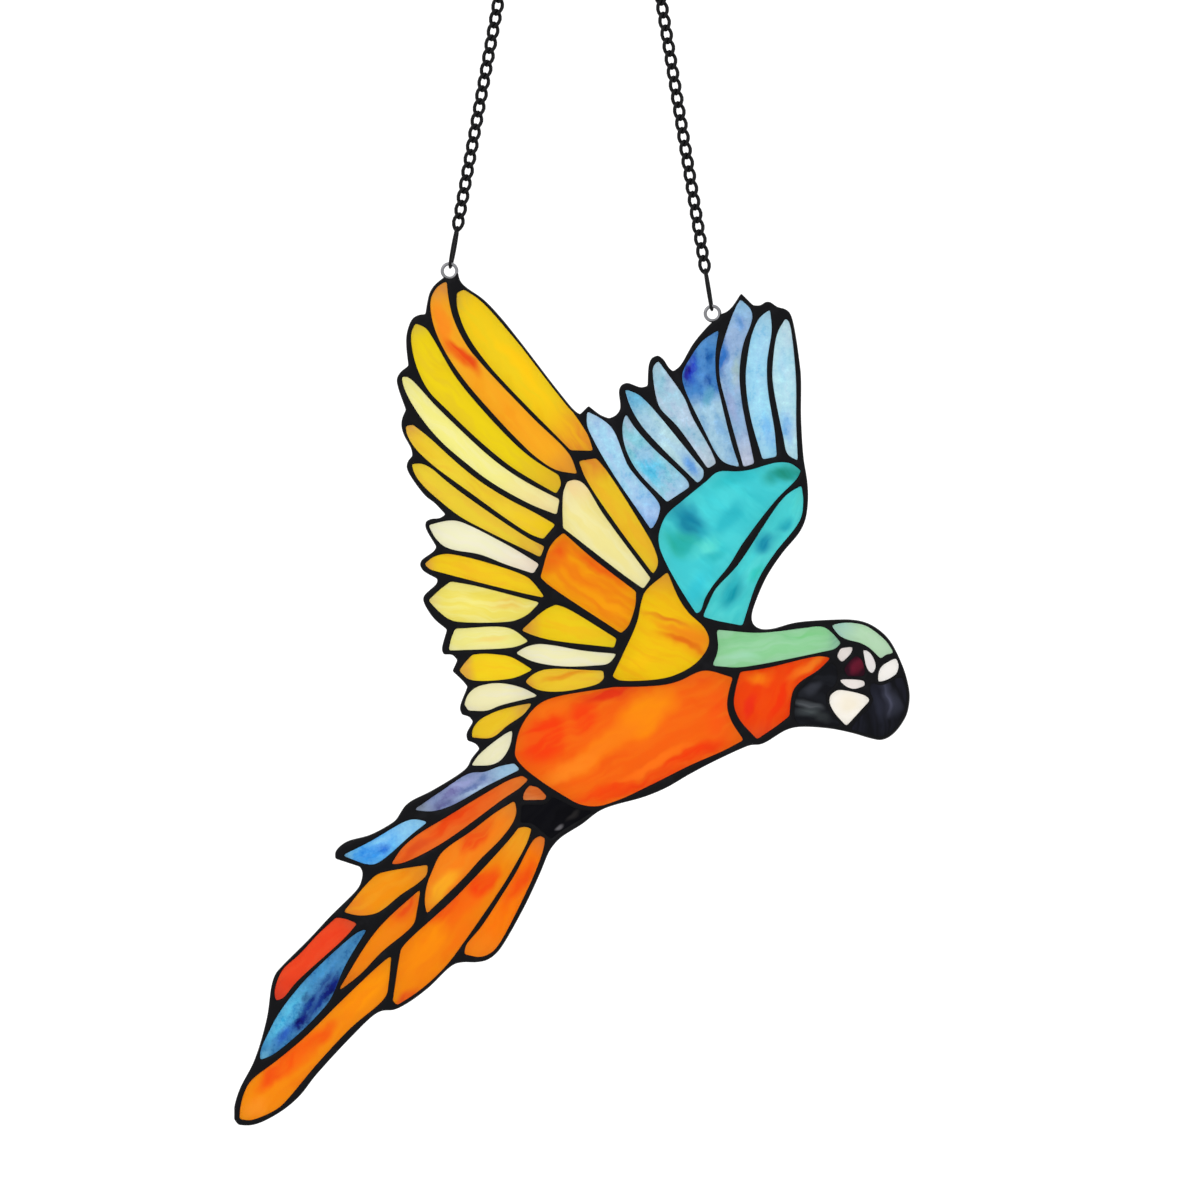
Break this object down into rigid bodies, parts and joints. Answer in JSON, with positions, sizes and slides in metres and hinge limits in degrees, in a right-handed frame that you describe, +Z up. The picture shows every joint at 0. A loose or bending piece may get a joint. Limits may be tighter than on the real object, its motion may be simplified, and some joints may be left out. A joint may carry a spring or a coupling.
{
  "type": "stained glass hanging panel",
  "caption": "Leaded glass suncatcher of a flying macaw: coloured panes in black solder lines, hung from two soldered rings by chains that meet in one ring",
  "frame": {"origin": "the inside top of the hanging ring, where a hook carries the panel", "axes": "+Z up along the hung panel, +X to the right as seen from the front, the front faces -Y"},
  "size_m": [0.2252, 0.0046, 0.5354],
  "materials": {
    "black_solder": "semi-gloss black patina over hand-run solder",
    "black_chain": "black, satin",
    "bright_steel": "bright wire",
    "lemon_glass": "glossy, gently rippled opalescent sheet",
    "golden_glass": "glossy, gently rippled opalescent sheet",
    "cream_glass": "glossy, gently rippled opalescent sheet",
    "ivory_glass": "glossy, gently rippled opalescent sheet",
    "amber_glass": "glossy, gently rippled opalescent sheet",
    "flame_glass": "glossy, gently rippled opalescent sheet",
    "red_glass": "glossy, gently rippled opalescent sheet",
    "pale_blue_glass": "glossy, gently rippled opalescent sheet",
    "blue_glass": "glossy, gently rippled opalescent sheet",
    "violet_glass": "glossy, gently rippled opalescent sheet",
    "turquoise_glass": "glossy, gently rippled opalescent sheet",
    "green_glass": "glossy, gently rippled opalescent sheet",
    "white_glass": "glossy, gently rippled opalescent sheet",
    "black_glass": "glossy, gently rippled opalescent sheet",
    "ruby_glass": "glossy, gently rippled opalescent sheet"
  },
  "bodies": {
    "root": {"solder_lines": "black_solder", "chain_left": "black_chain", "chain_right": "black_chain", "hanging_ring": "bright_steel", "wing_feather_1": "lemon_glass", "wing_feather_3": "lemon_glass", "wing_feather_5": "lemon_glass", "wing_feather_6": "golden_glass", "wing_feather_8": "golden_glass", "wing_feather_11": "golden_glass", "wing_feather_13": "golden_glass", "covert_golden": "golden_glass", "covert_amber_low": "golden_glass", "shoulder": "golden_glass", "wing_feather_4": "cream_glass", "wing_feather_9": "cream_glass", "wing_feather_10": "cream_glass", "covert_cream_wedge": "cream_glass", "wing_feather_7": "ivory_glass", "wing_feather_12": "ivory_glass", "wing_feather_14": "ivory_glass", "covert_white": "ivory_glass", "wing_feather_2": "amber_glass", "covert_amber_strip": "amber_glass", "tail_amber": "amber_glass", "tail_leaf": "amber_glass", "tail_blade": "amber_glass", "tail_orange_long": "amber_glass", "tail_orange_outer": "amber_glass", "tail_tip": "amber_glass", "rump_orange": "amber_glass", "covert_orange": "flame_glass", "body": "flame_glass", "breast": "flame_glass", "tail_red_orange": "flame_glass", "tail_red": "red_glass", "blue_feather_1": "pale_blue_glass", "blue_feather_2": "pale_blue_glass", "blue_feather_3": "pale_blue_glass", "blue_feather_4": "pale_blue_glass", "blue_feather_7": "pale_blue_glass", "blue_feather_8": "pale_blue_glass", "tail_light_blue": "pale_blue_glass", "blue_feather_5": "blue_glass", "blue_feather_6": "blue_glass", "tail_blue": "blue_glass", "tail_violet": "violet_glass", "turquoise_wing": "turquoise_glass", "turquoise_edge": "turquoise_glass", "neck": "green_glass", "crown": "green_glass", "beak_base_white": "white_glass", "eye_white_left": "white_glass", "eye_white_right": "white_glass", "eye_white_below": "white_glass", "cheek_white": "white_glass", "cheek_black": "black_glass", "beak": "black_glass", "rump_black": "black_glass", "eye": "ruby_glass"}
  },
  "joints": []
}
